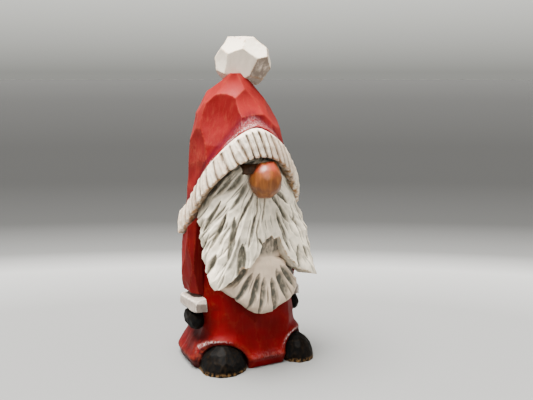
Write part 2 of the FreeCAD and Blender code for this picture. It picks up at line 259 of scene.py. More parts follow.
def grain_of(nodes, scale=0.9):
    """Fine wood fibres that run up the figure, 0 to 1."""
    return nodes.noise(scale, (1.0, 1.0, 0.06), detail=5.0, roughness=0.6, distortion=0.3)


def painted_wood(name, light, dark, wash, worn, wear, grain_share, roughness=(0.45, 0.65),
                 coat=0.05, specular=0.25, streak=None, tones=(0.25, 0.75)):
    """Thin acrylic over carved wood.

    light and dark are the extremes of the paint, reached where the tone leaves the range in
    tones; on the hat the tone also carries painted light and shade on its facets.  The wash
    colour gathers in the cuts, and also stands for painted shade where the mesh asks for it;
    the worn colour shows on the sharp edges by the share in wear, and in the fibres by
    grain_share; streak is a pale colour where the mesh asks for it: dry-brushed white, and a
    painted highlight on the coat's lips and above the hat's brim.
    """
    nodes = NodeMaker(name)
    grain = grain_of(nodes)
    cloud = nodes.noise(0.12, detail=3.0)
    patch = nodes.noise(0.6, (1, 1, 0.5), detail=4.0)
    tone = nodes.maths("ADD", nodes.maths("MULTIPLY", cloud, 0.5),
                       nodes.maths("MULTIPLY", nodes.attribute("facet"), 0.5))
    colour = nodes.mix(nodes.step(tone, *tones), dark, light)
    fibre = nodes.maths("MULTIPLY", nodes.step(grain, 0.45, 0.75), grain_share)
    colour = nodes.mix(fibre, colour, worn)
    colour = nodes.mix(nodes.maths("MULTIPLY", nodes.attribute("wash"),
                                   nodes.step(patch, 0.1, 0.6), clamp=True), colour, wash)
    if streak is not None:
        dry = nodes.step(nodes.noise(1.6, (1, 1, 0.6), detail=5.0), 0.42, 0.62)
        colour = nodes.mix(nodes.maths("MULTIPLY", nodes.attribute("streak"), dry), colour, streak)
    rubbed = nodes.maths("MULTIPLY", nodes.attribute("edge"),
                         nodes.step(nodes.noise(0.8, detail=4.0), 0.42, 0.60), clamp=True)
    colour = nodes.mix(nodes.maths("MULTIPLY", rubbed, wear), colour, worn)
    rough = nodes.maths("ADD", nodes.maths("MULTIPLY", patch, roughness[1] - roughness[0]),
                        roughness[0])
    nodes.surface(colour, rough, specular=specular, coat=coat, coat_roughness=0.25,
                  height=nodes.maths("ADD", grain, nodes.maths("MULTIPLY", patch, 0.8)),
                  depth=0.06)
    return nodes.material


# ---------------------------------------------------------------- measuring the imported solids

def box_of(name):
    """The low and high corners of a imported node, in millimetres."""
    low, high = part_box(name)
    return np.array(low) / MM, np.array(high) / MM


def tree_of(*names):
    """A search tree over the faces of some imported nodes, in millimetres."""
    points, faces = [], []
    for name in names:
        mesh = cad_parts[name].data
        start = len(points)
        points += [vertex.co / MM for vertex in mesh.vertices]
        faces += [[start + corner for corner in face.vertices] for face in mesh.polygons]
    return BVHTree.FromPolygons(points, faces)


def outward(angles):
    """Unit vectors away from an upright axis at some angles round from the front."""
    return np.stack([np.sin(angles), -np.cos(angles), np.zeros_like(angles)], axis=-1)


def wrap(tree, centres, angles, reach=60.0):
    """Distances from upright-axis points out to a solid as [level, angle]; nan where none."""
    radius = np.full((len(centres), len(angles)), np.nan)
    rays = [Vector(ray) for ray in outward(angles)]
    for row, centre in enumerate(Vector(point) for point in centres):
        for column, ray in enumerate(rays):
            hit = tree.ray_cast(centre + ray * reach, -ray, reach)[0]
            if hit is not None:
                radius[row, column] = (hit - centre).length
    return radius


def fill_gaps(values, axis):
    """Replace nan along one axis by interpolating between the nearest known values."""
    for line in values if axis == 1 else values.T:
        known = np.flatnonzero(~np.isnan(line))
        if 0 < len(known) < len(line):
            line[:] = np.interp(np.arange(len(line)), known, line[known])
    return values


def smooth(values, cells, axis, closed):
    """Gaussian smoothing along one axis; cells is the standard deviation."""
    reach = int(3 * cells) + 1
    steps = np.arange(-reach, reach + 1)
    weights = np.exp(-0.5 * (steps / cells) ** 2)
    weights /= weights.sum()
    padding = [(0, 0)] * values.ndim
    padding[axis] = (reach, reach)
    padded = np.pad(values, padding, mode="wrap" if closed else "edge")
    size = values.shape[axis]
    total = np.zeros_like(values, dtype=float)
    for weight, step in zip(weights, steps):
        total += weight * np.take(padded, np.arange(size) + reach + step, axis=axis)
    return total


# ---------------------------------------------------------------- grids and meshes

def normals_of(points, closed):
    """Outward unit normals of a grid of loops [loop, place, xyz]."""
    round_loop = np.roll(points, -1, axis=1) - np.roll(points, 1, axis=1)
    if closed:
        next_loop = np.roll(points, -1, axis=0) - np.roll(points, 1, axis=0)
    else:
        next_loop = np.gradient(points, axis=0)
    normal = np.cross(round_loop, next_loop)
    normal /= np.maximum(np.linalg.norm(normal, axis=2, keepdims=True), 1e-9)
    return normal * (1 if volume_of(points, closed) > 0 else -1)


def volume_of(points, closed):
    """Signed volume inside a grid of loops, by the faces' share of a sum of tetrahedra."""
    following = np.roll(points, -1, axis=0) if closed else points[1:]
    first = points if closed else points[:-1]
    beside, across = np.roll(first, -1, axis=1), np.roll(following, -1, axis=1)
    return (np.einsum("ijk,ijk->", first, np.cross(beside, across))
            + np.einsum("ijk,ijk->", first, np.cross(across, following)))


def crest(points, normals, cells, closed):
    """How far each point stands above its smoothed surroundings, in millimetres."""
    soft = smooth(smooth(points, cells, 1, True), cells, 0, closed)
    return np.einsum("ijk,ijk->ij", points - soft, normals)


def grid_faces(loops, places, closed):
    """Quads between neighbouring loops, each loop closed on itself."""
    first = np.arange(loops if closed else loops - 1)
    place = np.arange(places)
    a, b = np.meshgrid(first, place, indexing="ij")
    above, beside = (a + 1) % loops, (b + 1) % places
    quads = np.stack([a * places + b, a * places + beside,
                      above * places + beside, above * places + b], axis=-1)
    return quads.reshape(-1, 4).tolist()


def carve_mesh(name, points, closed, material, slot_name, nodes, **fields):
    """Make a piece from a grid of loops; open ends are closed by fans of triangles.

    fields are floats per grid point that the material reads: edge, wash, facet, streak.
    """
    loops, places = points.shape[:2]
    corners = points.reshape(-1, 3)
    faces = grid_faces(loops, places, closed)
    if not closed:
        ends = np.stack([points[0].mean(axis=0), points[-1].mean(axis=0)])
        corners = np.concatenate([corners, ends])
        for place in range(places):
            beside = (place + 1) % places
            last = (loops - 1) * places
            faces.append([beside, place, loops * places])
            faces.append([last + place, last + beside, loops * places + 1])
    if volume_of(points, closed) < 0:
        faces = [face[::-1] for face in faces]
    mesh = bpy.data.meshes.new(f"carved_{name}")
    mesh.from_pydata((corners * MM).tolist(), [], faces)
    mesh.polygons.foreach_set("use_smooth", [True] * len(faces))
    for field in ("edge", "wash", "facet", "streak"):
        values = np.zeros(len(corners), np.float32)
        if field in fields:
            values[:loops * places] = fields[field].reshape(-1)
            if not closed:
                values[-2:] = fields[field][0].mean(), fields[field][-1].mean()
        mesh.attributes.new(field, "FLOAT", "POINT").data.foreach_set("value", values)
    mesh.materials.append(material)
    piece = bpy.data.objects.new(f"carved_{name}", mesh)
    bpy.context.scene.collection.objects.link(piece)
    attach(piece, "root")
    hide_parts(*nodes)


# ---------------------------------------------------------------- knife work

def lumps(points, size, waves=24):
    """Smooth seeded unevenness over points, about -1 to 1, with bumps of some size."""
    ways = rng.normal(size=(waves, 3))
    ways *= (2 * math.pi / size * rng.uniform(0.5, 1.5, waves)
             / np.linalg.norm(ways, axis=1))[:, None]
    return np.sin(points @ ways.T + rng.uniform(0, 2 * math.pi, waves)).mean(axis=-1) * 3.0


def first_cut(reach, roundness):
    """The least of the last axis, rounded over; which it is; and how near the next one is."""
    order = np.sort(reach, axis=-1)
    soft = -roundness * np.log(np.exp(-(reach - order[..., :1]) / roundness).sum(axis=-1))
    return order[..., 0] + soft, np.argmin(reach, axis=-1), order[..., 1] - order[..., 0]


def flat_cuts(centres, rays, planes, roundness=0.12):
    """Distance from each centre along its ray to the first of many planes.

    Returns the distance, the number of the plane, and how near the next plane is (0 on an
    edge).  Edges are rounded over about the roundness, in millimetres.
    """
    points = np.array([point for point, _ in planes])
    normals = np.array([normal for _, normal in planes])
    slope = rays @ normals.T
    offset = np.einsum("pk,pk->p", points, normals) - centres @ normals.T
    reach = np.where(slope > 0.03, offset / np.maximum(slope, 0.03), 1e3)
    return first_cut(reach, roundness)


CURL_REACH = 12


def curled_cuts(centres, rays, cuts, base, roundness):
    """The same for knife cuts that leave hollow faces, inside an uncut base surface.

    Each cut is (point, normal, curl across, curl along); the curls are in 1/millimetres and
    act up to CURL_REACH millimetres from the cut's point.
    """
    reaches = []
    for point, normal, curl_across, curl_along in cuts:
        across = np.cross((0, 0, 1.0), normal)
        across /= np.linalg.norm(across)
        along = np.cross(normal, across)
        slope = np.maximum(rays @ normal, 0.05)
        reach = ((point - centres) @ normal) / slope
        offset = centres + rays * reach[..., None] - point
        for curl, way in ((curl_across, across), (curl_along, along)):
            reach += curl * np.clip(offset @ way, -CURL_REACH, CURL_REACH) ** 2
        reaches.append(np.where(slope > 0.05, reach, 1e3))
    return first_cut(np.stack([*reaches, base], axis=-1), roundness)


def hollow_out(points, rays, nearest, scoop):
    """Dish every flat by up to a scoop in millimetres, as a knife leaves it."""
    for number in np.unique(nearest):
        inside = nearest == number
        middle = points[inside].mean(axis=0)
        spread = np.linalg.norm(points[inside] - middle, axis=-1)
        size = np.percentile(spread, 90) + 0.5
        dish = clip01(1 - (spread / size) ** 2) * scoop
        points[inside] -= rays[inside] * dish[:, None]
    return points


def ball_rays(loops=150, places=200):
    """Unit vectors over a sphere as a grid of loops, from the foot to the top."""
    tilt = np.linspace(-math.pi / 2 + 0.012, math.pi / 2 - 0.012, loops)
    turn = np.linspace(0, 2 * math.pi, places, endpoint=False)
    tilt, turn = np.meshgrid(tilt, turn, indexing="ij")
    return np.stack([np.cos(tilt) * np.sin(turn), -np.cos(tilt) * np.cos(turn),
                     np.sin(tilt)], axis=-1)


def facing(turn, tilt):
    """A unit vector by its angle round from the front and its angle up, in degrees."""
    turn, tilt = math.radians(turn), math.radians(tilt)
    return np.array([math.cos(tilt) * math.sin(turn), -math.cos(tilt) * math.cos(turn),
                     math.sin(tilt)])


def ball_planes(centre, radii, flats, bite=0.05):
    """Planes on an ellipsoid where its surface faces each of the given ways.

    Each flat is (turn, tilt) or (turn, tilt, extra depth); depths are shares of the radius.
    """
    planes = []
    for turn, tilt, *extra in flats:
        normal = facing(turn, tilt)
        depth = bite + (extra[0] if extra else 0.0)
        reach = np.linalg.norm(normal * radii) * (1 - depth)
        planes.append((centre + normal * reach, normal))
    return planes


def whittle(name, centre, planes, material, slot_name, scoop=0.25, straight=0, lumpy=0.0,
            worn_width=0.5, worn_low=0.0, loops=150, places=200, roundness=0.12, streak=None,
            wash=None):
    """A ball or block cut all over with flats; the last few planes may stay quite straight.

    worn_width is the width of the worn edges and worn_low the height of a worn foot, in
    millimetres.  streak takes the points, and wash the ways that their flats face; both give
    a field.
    """
    centre = np.asarray(centre, float)
    rays = ball_rays(loops, places)
    reach, nearest, gap = flat_cuts(centre, rays, planes, roundness)
    dished = nearest < len(planes) - straight
    reach += lumpy * lumps(centre + rays * reach[..., None], 3.0) * dished
    points = centre + rays * reach[..., None]
    cut = hollow_out(points.copy(), rays, nearest, scoop)
    points = np.where(dished[..., None], cut, points)
    tints = rng.uniform(0, 1, len(planes))
    fields = {"edge": clip01(1 - gap / worn_width), "facet": tints[nearest]}
    if worn_low > 0:
        low = clip01(1.6 - (points[..., 2] - points[..., 2].min()) / worn_low)
        fields["edge"] = np.maximum(0.03 * fields["edge"], low)
    if streak is not None:
        fields["streak"] = streak(points)
    if wash is not None:
        fields["wash"] = wash(np.array([way for _, way in planes])[nearest])
    carve_mesh(name, points, False, material, slot_name, [name], **fields)


def leaf_cuts(flat, cuts, lean=1):
    """Depths of tapering V gouges over a surface unrolled to (along, up) millimetres.

    Each cut is (points, half width, depth); its points run from root to end.  One side of the
    V is steep: lean says which.
    """
    depth = np.zeros(flat.shape[:2])
    for route, half_width, deepest in cuts:
        route = np.asarray(route, float)
        lengths = np.linalg.norm(np.diff(route, axis=0), axis=1)
        total, done = lengths.sum(), 0.0
        for start, end, length in zip(route, route[1:], lengths):
            way = (end - start) / length
            along = np.clip((flat - start) @ way, 0, length)
            offset = flat - start - along[..., None] * way
            steep = np.where(offset @ np.array([way[1], -way[0]]) * lean > 0, 1.7, 0.8)
            aside = np.linalg.norm(offset, axis=-1) * steep
            share = (done + along) / total
            width = half_width * np.clip(np.sin(math.pi * np.clip(share, 0.02, 0.98) ** 0.8),
                                         0.05, 1) ** 0.45
            cut = deepest * (width / half_width) * clip01(1 - aside / width)
            depth = np.maximum(depth, cut)
            done += length
    return depth


def scoop_places(flat, seeds, ways, long_half, wide_half):
    """For each scoop, how far along it and aside of it every place lies, in half sizes."""
    for seed, way in zip(seeds, ways):
        offset = flat - seed
        yield offset @ way / long_half, offset @ np.array([-way[1], way[0]]) / wide_half


def shallow_scoops(flat, seeds, ways, long_half, wide_half, deepest):
    """Overlapping shallow scoops, longer than wide, that leave ridges between them."""
    depth = np.zeros(flat.shape[:2])
    for along, aside in scoop_places(flat, seeds, ways, long_half, wide_half):
        depth = np.maximum(depth, deepest * (1 - along ** 2 - aside ** 2))
    return depth


def overlapping_locks(flat, seeds, ways, long_half, wide_half, deepest):
    """Scoops that start with a steep stop-cut and rise slowly to an overhanging tip."""
    depth = np.zeros(flat.shape[:2])
    for along, aside in scoop_places(flat, seeds, ways, long_half, wide_half):
        slopes = np.minimum((1 + along) / 0.8, (1 - along) / 1.2)
        depth = np.maximum(depth, deepest * (slopes - aside ** 2))
    return depth


# ---------------------------------------------------------------- coat

# how far the rolled hem covers each boot's top, and its right and left side
ARCH_LOWERED = 2.2
COVERED = {"boot_right": (0.0, 0.0), "boot_left": (2.4, 0.4)}
# the coat's axis, its usual radius and how far it runs up behind the beard
COAT_AXIS, COAT_RADIUS, COAT_RISE = (0, 2), 22, 7.0
# how far ahead of the axis the wall behind the boots stands
POCKET_BACK = 11.6


def arch_sides(name):
    """Where a boot's archway starts and ends along X."""
    low, high = box_of(name)
    return low[0] + COVERED[name][0], high[0] - COVERED[name][1]


def arch_distance(points, name):
    """How far outside a boot's archway each point lies, seen from the front, and its side.

    The side is the place across the archway, from -1 at its right-hand leg to 1.
    """
    right, left = arch_sides(name)
    half = (left - right) / 2
    aside = points[..., 0] - (left + right) / 2
    spring = box_of(name)[1][2] - half - ARCH_LOWERED
    return np.hypot(aside, np.maximum(points[..., 2] - spring, 0)) - half, aside / half


def make_coat():
    """The body: tucked in above the boots and flared over them into two rolled lips."""
    low, high = box_of("coat")
    levels = np.concatenate([np.linspace(low[2], 24, 110),
                             np.linspace(24.6, high[2] + COAT_RISE, 60)])
    angles = np.linspace(-math.pi, math.pi, 520, endpoint=False)
    centres = [(*COAT_AXIS, min(max(level, 0.05), high[2] - 0.05)) for level in levels]
    radius = wrap(tree_of("coat"), centres, angles)
    boots = wrap(tree_of("boot_right", "boot_left"), centres, angles)
    radius[~np.isnan(boots) & (np.abs(angles) < math.pi / 2)] = np.nan
    fill_gaps(radius, 1)
    radius = smooth(smooth(radius, 9, 1, True), 4, 0, False)
    centres = np.array([(*COAT_AXIS, level) for level in levels])[:, None, :]
    rays = outward(angles)[None, :, :]
    flat = np.stack(np.broadcast_arrays(angles * COAT_RADIUS, levels[:, None]), axis=-1)
    seeds, ways = [], []
    for level in (8, 17, 26, 35, 44, 51):
        for turn in np.arange(-170, 180, 22):
            seeds.append((math.radians(turn + rng.uniform(-9, 9)) * COAT_RADIUS,
                          level + rng.uniform(-3, 3)))
            lean = rng.uniform(-0.35, 0.35)
            ways.append((math.sin(lean), math.cos(lean)))
    radius = radius - shallow_scoops(flat, np.array(seeds), np.array(ways), 9.0, 5.5, 0.55)
    points = centres + rays * radius[..., None]
    away_right, side_right = arch_distance(points, "boot_right")
    away_left, side_left = arch_distance(points, "boot_left")
    away = np.minimum(away_right, away_left)
    front = clip01((6 - points[..., 1]) / 6)
    lip = np.maximum(bell(away_right - 1.9, 1.3) * np.clip(1 - side_right, 0.4, 1),
                     bell(away_left - 1.9, 1.3) * np.clip(1.2 + side_left, 0.4, 1))
    lip *= front
    hem = bell(points[..., 2] - 4.6, 1.5) * clip01(away / 3)
    under = clip01((3.5 - points[..., 2]) / 3.5)
    radius = radius + 1.2 * lip + 0.9 * hem - 1.0 * under
    radius = radius + 0.18 * lumps(points, 7.0)
    ahead = np.cos(angles)[None, :]
    pocket = POCKET_BACK / np.maximum(ahead, 0.05)
    inside = (away < 0.15) & (ahead > 0.2)
    radius = np.where(inside, np.minimum(radius, pocket), radius)
    points = centres + rays * radius[..., None]
    points[0, :, 2] = low[2]
    normals = normals_of(points, False)
    rise = crest(points, normals, 3, False)
    # painted highlight: a pale broken line along the rolled lips over the boots, and a faint one
    # along the hem
    lip_highlight = bell(away_right - 1.8, 0.4) * clip01(0.6 - 1.5 * side_right)
    lip_highlight += bell(away_left - 1.8, 0.4) * clip01(0.5 - 1.5 * side_left)
    ahead_of_arms = clip01((-7 - points[..., 1]) / 3)
    streak = lip_highlight * ahead_of_arms * clip01((points[..., 2] - 6) / 3)
    streak = streak + 0.05 * hem * (away > 2)
    # the wash along the archways over the boots; painted shade on the rolled hem away from them,
    # and on the lower sides where the arms and mittens shade the flare
    aside = clip01((away - 4) / 4)
    wash = 0.8 * bell(away, 0.8) * front + 0.7 * hem * aside
    corner = clip01((np.abs(points[..., 0]) - 18) / 3)
    wash += 0.7 * corner * clip01((20 - points[..., 2]) / 8) * (1 - clip01(streak))
    carve_mesh("coat", points, False, red_coat, "coat_paint", ["coat"],
               edge=clip01(rise / 0.12), streak=clip01(streak), wash=wash,
               facet=clip01(0.5 + 0.5 * lumps(points, 14.0)))


def make_boot(name):
    """A rounded boot cut with flats, standing in the archway of the hem."""
    low, high = box_of(name)
    low[0], high[0] = arch_sides(name)
    centre = np.array([(low[0] + high[0]) / 2, high[1] - 5.2, 0.0])
    radii = np.array([(high[0] - low[0]) / 2 + 0.4, centre[1] - low[1] + 0.4, high[2] - 1.9])
    flats = []
    for tilt, count in ((3, 11), (20, 9), (36, 9), (54, 7), (76, 3)):
        for number in range(count):
            turn = -100 + 200 * (number + 0.25 * (tilt % 3)) / (count - 1)
            flats.append((turn + rng.uniform(-6, 6), tilt + rng.uniform(-4, 4),
                          rng.uniform(-0.015, 0.03)))
    planes = ball_planes(centre, radii, flats, bite=0.0)
    planes = [(point, way) for point, way in planes if way[1] < 0.25]
    planes += [(np.array([0, high[1], 0]), np.array([0, 1.0, 0])),
               (np.array([0, 0, 0.0]), np.array([0, 0, -1.0]))]
    whittle(name, centre + np.array([0, 0, 4.0]), planes, black_paint, "black_paint",
            scoop=0.18, straight=2, lumpy=0.06, worn_low=1.2)


# ---------------------------------------------------------------- arms

def make_sleeve(side, name):
    """A long flat sleeve, cut with upright facets, tucked under the brim at its top."""
    low, high = box_of(name)
    middle = np.array([side * 21.6, (low[1] + high[1]) / 2])
    levels = np.linspace(low[2] - 0.6, high[2] + 1.0, 120)
    angles = np.linspace(-math.pi, math.pi, 260, endpoint=False)
    edge = max(abs(low[0]), abs(high[0]))
    out = np.array([side, 0, 0.0])
    ahead, back, up = np.array([0, -1.0, 0]), np.array([0, 1.0, 0]), np.array([0, 0, 1.0])
    planes = []
    for point, normal in (
            ((edge, -1.0, 43), out + 0.10 * ahead - 0.02 * up),
            ((edge - 0.1, 4.5, 50), out + 0.16 * back + 0.07 * up),
            ((edge - 0.4, -3.4, 54), out + 0.55 * ahead + 0.06 * up),
            ((edge - 0.6, -3.2, 36), out + 0.5 * ahead - 0.16 * up),
            ((edge - 0.5, 7.0, 42), out + 0.6 * back - 0.03 * up),
            ((edge - 0.2, 1.0, 34), out + 0.02 * ahead - 0.17 * up),
            ((edge - 0.4, 6.6, 34), out + 0.5 * back - 0.2 * up),
            ((22, low[1] + 0.1, 42), ahead + 0.05 * out),
            ((22, high[1] - 0.2, 42), back - 0.03 * up + 0.06 * out),
            ((22, high[1] - 1.0, 34), back - 0.18 * up),
            ((20.4, 0, 40), -out)):
        planes.append((np.array([side * point[0], point[1], point[2]]),
                       normal / np.linalg.norm(normal)))
    centres = np.array([(*middle, level) for level in levels])[:, None, :]
    rays = outward(angles)[None, :, :] + np.zeros((len(levels), 1, 1))
    reach, nearest, gap = flat_cuts(centres, rays, planes, roundness=0.16)
    points = centres + rays * reach[..., None]
    points = hollow_out(points, rays, nearest, 0.25)
    top = brim_low(np.arctan2(22.0, -points[..., 1])) + 0.8
    share = (points[..., 2] - levels[0]) / (levels[-1] - levels[0])
    points[..., 2] = levels[0] + share * (top - levels[0])
    points[..., 0] += side * 0.10 * lumps(points, 6.0)
    tints = rng.uniform(0, 1, len(planes))
    carve_mesh(name, points, False, red_sleeve, "coat_paint", [name],
               edge=clip01(1 - gap / 0.6), facet=tints[nearest])


def box_planes(low, high, tilts, chamfers):
    """Six tilted sides and some chamfers on a box; chamfers are (direction, depth)."""
    middle, half = (low + high) / 2, (high - low) / 2
    planes = []
    for axis in range(3):
        for sign in (-1, 1):
            normal = np.zeros(3)
            normal[axis] = sign
            point = middle + normal * half
            lean = tilts.get((axis, sign), (0, 0, 0))
            normal = normal + np.array(lean)
            planes.append((point, normal / np.linalg.norm(normal)))
    for way, depth in chamfers:
        way = np.array(way, float)
        corner = middle + np.sign(way) * half
        planes.append((corner - way / np.linalg.norm(way) * depth, way / np.linalg.norm(way)))
    return planes


# how far from the middle a cuff starts, and where the right and the left one end
CUFF_INNER, CUFF_OUTER = 20.2, {-1: 26.3, 1: 24.6}


def make_cuff(side, name):
    """A chunky cuff with an uneven top edge."""
    low, high = box_of(name)
    low, high = low + np.array([0, 0.3, 1.1]), high - np.array([0, 0.6, 2.2])
    inner, outer = (low, high) if side > 0 else (high, low)
    inner[0] = side * CUFF_INNER
    outer[0] = side * CUFF_OUTER[side]
    tilts = {(2, 1): (0.10 * side, 0.06, 0), (2, -1): (0.05 * side, -0.10, 0),
             (1, -1): (0.10 * side, 0, -0.06), (0, side): (0, -0.03, 0.05),
             (1, 1): (0.05 * side, 0, 0), (0, -side): (0, -0.1, 0)}
    chamfers = [((side, -1, 0), 0.5), ((side, 1, 0), 1.2), ((side, 0, 1), 0.4),
                ((side, 0, -1), 0.5), ((0, -1, 1), 0.4), ((0, -1, -1), 0.5), ((side, -1, 1), 0.7),
                ((0, 1, -1), 0.8)]
    planes = box_planes(low, high, tilts, chamfers)
    whittle(name, (low + high) / 2, planes, shaded_white_cuff, "trim_paint", scoop=0.2, lumpy=0.22,
            loops=130, places=240,
            # painted shade on the flats that face forwards
            wash=lambda ways: 0.8 * clip01((-0.5 - ways[..., 1]) / 0.3))


def make_mitten(side, name):
    """A closed hand: a rounded black block below its cuff."""
    low, high = box_of(name)
    centre = np.array([side * 23.5, (low[1] + high[1]) / 2 - 0.2, (low[2] + high[2]) / 2 + 1.2])
    radii = np.array([3.3, 7.2, 4.5])
    flats = []
    for tilt, count in ((-68, 5), (-42, 9), (-15, 11), (12, 11), (40, 8), (75, 3)):
        for number in range(count):
            turn = 360 * (number + 0.3 * (tilt % 4)) / count
            flats.append((turn + rng.uniform(-8, 8), tilt + rng.uniform(-5, 5),
                          rng.uniform(-0.02, 0.03)))
    planes = ball_planes(centre, radii, flats, bite=0.0)
    planes.append((np.array([0, 0, high[2] + 0.3]), np.array([0, 0, 1.0])))
    whittle(name, centre, planes, black_paint, "black_paint", scoop=0.12, straight=1,
            lumpy=0.12, worn_low=0.4, loops=110, places=160)


# ---------------------------------------------------------------- hat and pompom

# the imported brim's lower edge: its middle height, its swing, and the turn where it runs level
ARCH_MIDDLE, ARCH_SWING, ARCH_END = 70.5, 17.0, math.radians(120)
# how far the carved brim is turned towards the figure's right
ARCH_SKEW = math.radians(5.5)


def arch_height(turn):
    """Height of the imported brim's lower edge at a turn away from the front."""
    return ARCH_MIDDLE + ARCH_SWING * np.cos(1.5 * np.minimum(turn, ARCH_END))


def brim_low(angle):
    """Height of the brim's lower edge at an angle round from the front; it sits a bit askew."""
    turn = np.abs((angle + ARCH_SKEW + math.pi) % (2 * math.pi) - math.pi)
    droop = 1.5 * clip01((np.degrees(turn) - 80) / 25)
    return arch_height(turn) - droop


def brim_tall(angle):
    """Height of the brim's band, a little less on the left of the face."""
    return 11.3 - 1.7 * clip01((np.degrees(angle) + 10) / 30) * (angle < ARCH_END)


def band_radius(lift):
    """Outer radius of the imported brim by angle, at some height above its own lower edge."""
    angles = np.linspace(-math.pi, math.pi, 360, endpoint=False)
    tree = tree_of("hat_brim")
    radius = np.full((1, 360), np.nan)
    for column, angle in enumerate(angles):
        centre = Vector((0, 0, arch_height(abs(angle)) + lift))
        ray = Vector((math.sin(angle), -math.cos(angle), 0))
        hit = tree.ray_cast(centre + ray * 60, -ray, 60)[0]
        if hit is not None:
            radius[0, column] = (hit - centre).length
    return angles, smooth(fill_gaps(radius, 1), 7, 1, True)[0]


# the leaning hat's axis, as points from its foot to its tip
HAT_AXIS = [(0, 1, 53), (-2.1, 1.1, 94), (-3, 2, 105), (-3.4, 1, 113), (-4.2, -3.6, 119.5)]
# the broad knife cuts on the hat: (angle round from the front, height, nod of the face upwards
# in degrees, depth, curl across, curl along, paleness); the paleness is painted light and
# shade: high on the cuts that face up to the lamp, low on those turned away from it
HAT_CUTS = [
    (-32, 117.5, 0, 0.0, 0.0, 0.03, 0.7), (-34, 113.0, 3, 0.9, -0.03, 0.03, 1.0),
    (-4, 107.6, 4, 1.3, 0.0, 0.03, 0.9), (-54, 104.2, -8, 3.6, 0.004, 0.010, 0.2),
    (-122, 107.5, 2, 1.2, 0.0, 0.012, 0.5), (-118, 99.5, 0, 1.2, 0.0, 0.016, 0.6),
    (-155, 104.0, 0, 1.2, 0.0, 0.012, 0.5), (26, 110.0, 0, 1.3, 0.0, 0.002, 0.7),
    (12, 101.0, -4, 1.0, 0.01, 0.03, 0.5), (54, 103.0, 0, 1.2, 0.0, 0.012, 0.6),
    (-40, 93.0, 0, 0.6, 0.0, 0.012, 0.3), (-82, 91.0, 0, 0.8, 0.0, 0.012, 0.3),
    (-110, 87.0, 0, 0.8, 0.0, 0.012, 0.3), (62, 94.0, 0, 0.9, 0.0, 0.012, 0.5),
    (85, 110.0, 0, 1.0, 0.0, 0.012, 0.6)]


def hat_axis(levels):
    """Points on the hat's axis at some heights."""
    axis = np.array(HAT_AXIS, float)
    return np.stack([np.interp(levels, axis[:, 2], axis[:, 0]),
                     np.interp(levels, axis[:, 2], axis[:, 1]), levels], axis=-1)


def hat_cuts():
    """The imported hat's smoothed radius table, and the knife cuts set into its surface."""
    levels = np.linspace(56, 119.2, 120)
    angles = np.linspace(-math.pi, math.pi, 241)
    centres = hat_axis(levels)
    radius = wrap(tree_of("hat"), centres, angles)
    fill_gaps(radius, 0)
    radius = smooth(smooth(radius, 4, 1, True), 1.5, 0, False) + 0.5
    points = centres[:, None, :] + outward(angles)[None] * radius[..., None]
    normals = normals_of(points, False)
    places = list(HAT_CUTS)
    for row, level in enumerate((60, 69, 78, 87, 95.5, 103, 109.5, 115)):
        count = 8 if level < 105 else 6
        for column in range(count):
            turn = (column + 0.5 * (row % 2)) * 360 / count + rng.uniform(-8, 8) - 180
            height = level + rng.uniform(-2, 2)
            near = any(abs((turn - cut[0] + 180) % 360 - 180) < 34 and abs(height - cut[1]) < 8
                       for cut in HAT_CUTS)
            if not near and height > brim_low(math.radians(turn)) - 2:
                places.append((turn, height, 0, rng.uniform(0.5, 1.0), 0.0, 0.012,
                               rng.uniform(0.2, 0.9)))
    cuts = []
    for turn, height, nod, depth, across, along, _ in places:
        row = np.argmin(np.abs(levels - height))
        column = np.argmin(np.abs(angles - math.radians(turn)))
        normal = normals[row, column] + np.array([0, 0, math.tan(math.radians(nod))])
        normal /= np.linalg.norm(normal)
        cuts.append((points[row, column] - normals[row, column] * depth, normal, across, along))
    return levels, angles, radius, cuts, np.array([place[-1] for place in places] + [0.5])


def make_hat():
    """The leaning hat: broad knife cuts, a groove along the brim and a blunt tip."""
    angles = np.linspace(-math.pi, math.pi, 480, endpoint=False)
    share = np.linspace(0, 1, 200)[:, None] ** 0.9
    foot = smooth(brim_low(angles) + brim_tall(angles) / 2, 3, 0, True)[None, :]
    tip = box_of("hat")[1][2]
    levels = foot + share * (tip - foot)
    centres = hat_axis(levels)
    rays = outward(angles)[None, :, :] + np.zeros((200, 1, 1))
    rows, columns, table, cuts, pale = hat_cuts()
    base = sample(table, rows, columns, levels, angles[None, :] + 0 * levels)
    reach, nearest, gap = curled_cuts(centres, rays, cuts, base, roundness=0.10)
    reach += 0.06 * lumps(centres + rays * reach[..., None], 6.0)
    points = centres + rays * reach[..., None]
    turn = np.arctan2(points[..., 0], -points[..., 1])
    above = points[..., 2] - brim_low(turn) - brim_tall(turn)
    coarse, band = band_radius(9.8)
    room = np.interp(turn, coarse, band, period=2 * math.pi) - np.hypot(points[..., 0],
                                                                        points[..., 1])
    flare = np.clip(room - 1.7, 0, None) * clip01((5.0 - above) / 5.0) ** 2
    groove = 0.7 * clip01((0.5 - above) / 0.6)
    points += rays * (flare - groove)[..., None]
    # painted shade in the hollow just above the brim and in the groove at its foot
    dark = 0.9 * bell(above - 3.6, 2.6) + (above < 0.4)
    # a pale line just above the brim: dry-brushed scuffs and a painted highlight where the flare
    # faces up
    scuffs = clip01(0.4 + lumps(points, 12.0))
    streak = 0.45 * bell(above - 1.1, 0.5) * scuffs
    front = clip01(np.cos(turn - math.radians(10))) ** 4
    streak += 0.16 * bell(above - 2.6, 1.4) * front
    # the facet tone here is painted light and shade on the listed cuts, random on the others
    carve_mesh("hat", points, False, red_hat, "hat_paint", ["hat"],
               edge=clip01(1 - gap / 0.5), facet=pale[nearest],
               wash=clip01(dark), streak=streak)


